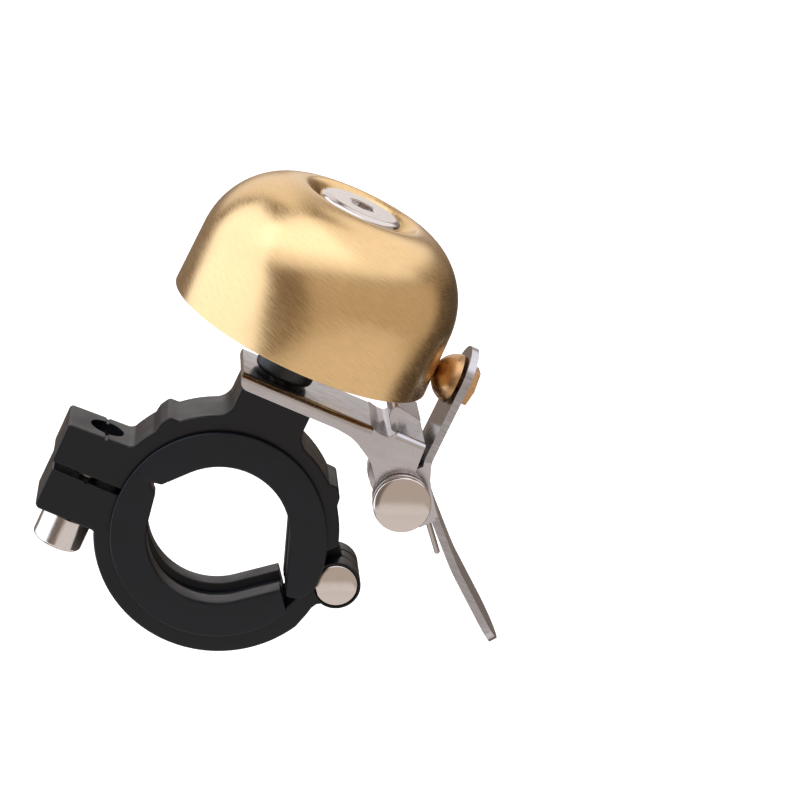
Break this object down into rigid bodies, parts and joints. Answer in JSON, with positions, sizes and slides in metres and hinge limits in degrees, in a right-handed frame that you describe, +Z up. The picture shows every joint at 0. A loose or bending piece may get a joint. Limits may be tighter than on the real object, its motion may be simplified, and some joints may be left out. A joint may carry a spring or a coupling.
{
  "type": "bicycle bell",
  "caption": "Bicycle bell with a brushed brass dome, a sprung thumb lever with a brass hammer, and a hinged handlebar clamp with a split shim.",
  "frame": {"origin": "on the handlebar's axis, in the middle of the clamp's width", "axes": "+Y along the handlebar, +Z up along the dome's axis, +X towards the thumb lever"},
  "size_m": [0.0775, 0.0426, 0.0764],
  "materials": {
    "brushed_brass": "brushed satin, clear lacquered",
    "hammer_brass": "satin, warmer than the dome",
    "satin_steel": "satin stainless sheet with sheared edges",
    "zinc_steel": "bright zinc-plated screw",
    "spring_steel": "bright drawn wire",
    "nickel": "polished nickel plate",
    "black_aluminium": "semi-matt black powder coat on aluminium",
    "nylon": "moulded black nylon",
    "rubber": "moulded black rubber"
  },
  "bodies": {
    "bell_and_clamp": {"clamp_upper": "black_aluminium", "bar_shim": "nylon", "bracket": "satin_steel", "pivot_rivet": "nickel", "pivot_washer_near": "nickel", "pivot_washer_far": "nickel", "hinge_pin": "nickel", "bell_dome": "brushed_brass", "dome_screw": "nickel", "head_washer": "rubber", "dome_bush": "rubber", "dome_post": "rubber", "torsion_spring": "spring_steel"},
    "lever": {"striker_lever": "satin_steel", "hammer_ball": "hammer_brass", "hammer_nut": "hammer_brass"},
    "lower_clamp": {"clamp_lower": "black_aluminium"},
    "bolt": {"clamp_bolt": "zinc_steel"}
  },
  "joints": [
    {"name": "lever_pivot", "type": "hinge", "parent": "bell_and_clamp", "child": "lever", "pos_m": [0.0235, 0, 0.017], "axis": [0, 1, 0], "range_deg": [0, 25], "stiffness_Nm_per_rad": 0.15, "springref_deg": -20.05, "deforming": ["torsion_spring"]},
    {"name": "clamp_hinge", "type": "hinge", "parent": "bell_and_clamp", "child": "lower_clamp", "pos_m": [0.02065, 0, -0.00085], "axis": [0, -1, 0], "range_deg": [0, 85]},
    {"name": "bolt_travel", "type": "slide", "parent": "lower_clamp", "child": "bolt", "axis": [0, 0, -1], "range_m": [0, 0.0048]}
  ]
}
